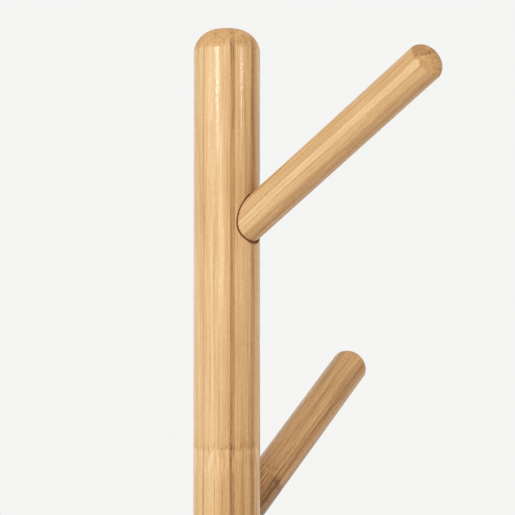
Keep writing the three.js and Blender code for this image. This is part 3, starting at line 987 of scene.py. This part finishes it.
def make_insert(name, low, high, mouth, inner, inner_pitch, outer, ridge, pitch, slot):
    """Brass, threaded outside and inside, with a driving slot across the end where its mouth is."""
    points = [(inner, low), (outer - ridge, low), (outer, low + ridge), (outer, high - ridge),
              (outer - ridge, high), (inner, high), (inner, low)]
    rings = {2: thread_rings(low, high, pitch), 5: thread_rings(low, high, inner_pitch)}
    body = turned(name, points, INSERT_SIDES, divisions=rings)
    middle = (inner + outer - ridge) / 2
    wind_thread(body, low, high, pitch, ridge, middle, 2 * outer)
    wind_thread(body, low, high, inner_pitch, -TAP_DEPTH, 0, middle)
    nothing_selected()
    bpy.ops.mesh.primitive_cube_add(size=1, location=(0, 0, mouth))
    cutter = bpy.context.object
    cutter.scale = (outer * 4, slot, slot * 2)
    bpy.ops.object.transform_apply(location=True, rotation=True, scale=True)
    cut_away(body, cutter)
    clean(body)
    return body


def make_inserts():
    """One insert behind each peg, mouth outwards, and one in the post's foot, mouth down."""
    insert = make_insert("insert", PEG_INSERT_LOW, PEG_INSERT_HIGH, PEG_INSERT_HIGH, HANGER_BORE_RADIUS,
                         HANGER_PITCH, **PEG_INSERT)
    for level, name in enumerate(PEG_LEVELS):
        piece = put(copy_of(insert, f"threaded_peg_insert_{name}"), peg_place(level))
        smooth(piece)
        finish = turned_metal(f"brass_peg_insert_{name}", peg_place(level), 11.0 + level, **BRASS)
        finished(piece, "root", [f"peg_insert_{name}"], finish)
    bpy.data.objects.remove(insert)
    low, high = (corner.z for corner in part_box("base_insert"))
    piece = make_insert("threaded_base_insert", low, high, low, BOLT_HOLE_RADIUS, BOLT_PITCH, **BASE_INSERT)
    smooth(piece)
    finish = turned_metal("brass_base_insert", Matrix.Identity(4), 17.0, **BRASS)
    finished(piece, "root", ["base_insert"], finish)


# ---------------------------------------------------------------- the base bolt and its washer
BOLT_RADIUS = 3 * MM
BOLT_CORE = 2.45 * MM
BOLT_PITCH = 1 * MM
BOLT_HEAD_RADIUS = 5.5 * MM
BOLT_HEAD_HEIGHT = 3.6 * MM
BOLT_HEAD_ROUND = 1.6 * MM
BOLT_RIM_ROUND = 0.3 * MM
BOLT_NECK_ROUND = 0.25 * MM
BOLT_THREADED_LENGTH = 14 * MM
HEX_CORNER_RADIUS = 2 * MM / math.cos(math.radians(30))
HEX_DEPTH = 2.2 * MM
HEX_FLARE = 0.35 * MM
HEX_FLARE_SIDES = 48
LATHE_SIDES = 96
BOLT_SMOOTH_BELOW = 30
WASHER_SMOOTH_BELOW = 50
WASHER_ROUNDS = [(1, 0.35 * MM), (2, 0.15 * MM), (3, 0.25 * MM)]


def make_base_bolt():
    """A button-headed bolt, head down, with a hexagon socket and a rolled thread."""
    low, high = (corner.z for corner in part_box("base_bolt"))
    head_top = low + BOLT_HEAD_HEIGHT
    thread_low = high - BOLT_THREADED_LENGTH
    tip_low = high - BOLT_RADIUS + BOLT_CORE
    points = [(0, low), (BOLT_HEAD_RADIUS, low), (BOLT_HEAD_RADIUS, head_top), (BOLT_RADIUS, head_top),
              (BOLT_RADIUS, thread_low), (BOLT_RADIUS, tip_low), (BOLT_CORE, high), (0, high)]
    rounds = [(1, BOLT_HEAD_ROUND), (2, BOLT_RIM_ROUND), (3, BOLT_NECK_ROUND)]
    rings = {4: thread_rings(thread_low, tip_low, BOLT_PITCH)}
    piece = turned("threaded_base_bolt", points, LATHE_SIDES, rounds, rings)
    wind_thread(piece, thread_low, high, BOLT_PITCH, BOLT_RADIUS - BOLT_CORE, 0, 2 * BOLT_RADIUS)
    socket = cylinder("hex_tool", HEX_CORNER_RADIUS, low - MM, low + HEX_DEPTH, 6)
    cut_away(piece, socket)
    wide = HEX_CORNER_RADIUS + HEX_FLARE
    flare = cylinder("flare_tool", wide, low - HEX_FLARE, low + HEX_FLARE, HEX_FLARE_SIDES)
    pick(flare, "verts", lambda vert: vert.co.z > low)
    narrow = (HEX_CORNER_RADIUS - HEX_FLARE) / wide
    bpy.ops.transform.resize(value=(narrow, narrow, 1), center_override=(0, 0, low))
    done()
    cut_away(piece, flare)
    clean(piece)
    smooth(piece, BOLT_SMOOTH_BELOW)
    finish = turned_metal("zinc_base_bolt", Matrix.Identity(4), 21.0, **ZINC)
    finished(piece, "root", ["base_bolt"], finish)


def make_washer():
    """A stamped ring, roundest at its lower outer edge and at its hole's upper edge."""
    low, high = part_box("base_washer")
    outer = (high.x - low.x) / 2
    points = [(BOLT_HOLE_RADIUS, low.z), (outer, low.z), (outer, high.z), (BOLT_HOLE_RADIUS, high.z),
              (BOLT_HOLE_RADIUS, low.z)]
    piece = turned("stamped_base_washer", points, LATHE_SIDES, WASHER_ROUNDS)
    smooth(piece, WASHER_SMOOTH_BELOW)
    finish = turned_metal("zinc_base_washer", Matrix.Identity(4), 25.0, **ZINC)
    finished(piece, "root", ["base_washer"], finish)


# ---------------------------------------------------------------- the stage, light and camera
FLOOR_SIZE = 4
FLOOR_DROP = 0.2 * MM
FLOOR_COLOUR = (0.72, 0.715, 0.70, 1)
FLOOR_ROUGHNESS = 0.9
ROOM_TINT = (0.91, 0.91, 0.90, 1)
LIGHT_DISTANCE = 1.3

# How bright the room is: to diffuse light in front of and behind the object, where it is reflected face on
# and at the object's rims, and low and high up
ROOM_DIFFUSE = 0.72
ROOM_BEHIND = 1.3
ROOM_REFLECTED = 0.25
ROOM_RIM = 2.0
ROOM_LOW = 0.82
ROOM_HIGH = 1.2

# Soft boxes: degrees to the side, degrees up, width and height in metres, and radiance
LIGHTS = {
    "window_left": (-58, 12, 1.0, 1.2, 0.4),
    "strip_left": (-34.5, 14.6, 0.25, 0.27, 18.5),
    "strip_left_low": (-35, 1, 0.24, 0.30, 0.8),
    "strip_right": (52.5, 12.5, 0.20, 0.30, 7.8),
    "front_soft": (20, 32, 0.8, 0.4, 2.4),
}


def make_stage():
    """A plain floor just below the feet."""
    nothing_selected()
    bpy.ops.mesh.primitive_plane_add(size=FLOOR_SIZE, location=(0, 0, -FLOOR_DROP))
    floor = bpy.context.object
    floor.name = "floor"
    material, tree, shader = new_material("floor_paint")
    feed(tree, shader, {"Base Color": FLOOR_COLOUR, "Roughness": FLOOR_ROUGHNESS})
    floor.data.materials.append(material)


def make_world():
    """A bright room: even for diffuse light, and dimmer around the camera where it is reflected."""
    world = bpy.data.worlds.new("studio")
    bpy.context.scene.world = world
    world.use_nodes = True
    tree = world.node_tree
    where = node(tree, "ShaderNodeTexCoord").outputs["Generated"]
    path = node(tree, "ShaderNodeLightPath").outputs
    ahead = dot(tree, where, (-math.sin(VIEW_TURN), math.cos(VIEW_TURN), 0.0))
    reflected = ramp(tree, ahead, 0.5, 1.0, ROOM_REFLECTED, ROOM_RIM)
    diffuse = ramp(tree, ahead, -0.6, 0.9, ROOM_DIFFUSE, ROOM_BEHIND)
    upward = ramp(tree, split(tree, where)["Z"], -0.3, 0.8, ROOM_LOW, ROOM_HIGH)
    lit = math_node(tree, "MULTIPLY", diffuse, upward)
    change = math_node(tree, "SUBTRACT", reflected, lit)
    room = math_node(tree, "MULTIPLY_ADD", path["Is Glossy Ray"], change, lit)
    seen = math_node(tree, "MAXIMUM", room, path["Is Camera Ray"])
    feed(tree, tree.nodes["Background"], {"Color": blend(tree, seen, (0, 0, 0, 1), ROOM_TINT)})


def make_light(name, side, rise, width, height, radiance):
    """A soft box aimed at the top peg. Side and rise are degrees from the camera, seen from the peg."""
    turn = VIEW_TURN + math.radians(side)
    lift = math.radians(rise)
    aim = Vector((0, 0, TOP_PEG_HEIGHT))
    back = Vector((math.sin(turn) * math.cos(lift), -math.cos(turn) * math.cos(lift), math.sin(lift)))
    data = bpy.data.lights.new(name, "AREA")
    data.shape = "RECTANGLE"
    data.size = width
    data.size_y = height
    data.energy = radiance * math.pi * width * height
    light = bpy.data.objects.new(name, data)
    bpy.context.scene.collection.objects.link(light)
    light.location = aim + back * LIGHT_DISTANCE
    light.rotation_euler = back.to_track_quat("Z", "Y").to_euler()


def make_camera():
    """The view, level with the post's upper part and turned a little upwards."""
    data = bpy.data.cameras.new("view")
    data.lens = LENS
    data.sensor_width = SENSOR
    camera = bpy.data.objects.new("view", data)
    bpy.context.scene.collection.objects.link(camera)
    across = Vector((math.cos(VIEW_TURN), math.sin(VIEW_TURN), 0))
    towards = Vector((math.sin(VIEW_TURN), -math.cos(VIEW_TURN), 0))
    height = Vector((0, 0, TOP_PEG_HEIGHT - VIEW_DROP))
    camera.location = across * VIEW_SIDESTEP + towards * VIEW_DISTANCE + height
    camera.rotation_euler = Euler((math.pi / 2 + VIEW_PITCH, 0, VIEW_TURN))
    data.clip_start = CLIP_START
    bpy.context.scene.camera = camera


bpy.context.scene.view_settings.view_transform = "Standard"
make_camera()
make_world()
for light, settings in LIGHTS.items():
    make_light(light, *settings)
make_stage()
make_post()
make_pegs()
make_base()
make_feet()
make_hanger_bolts()
make_inserts()
make_base_bolt()
make_washer()
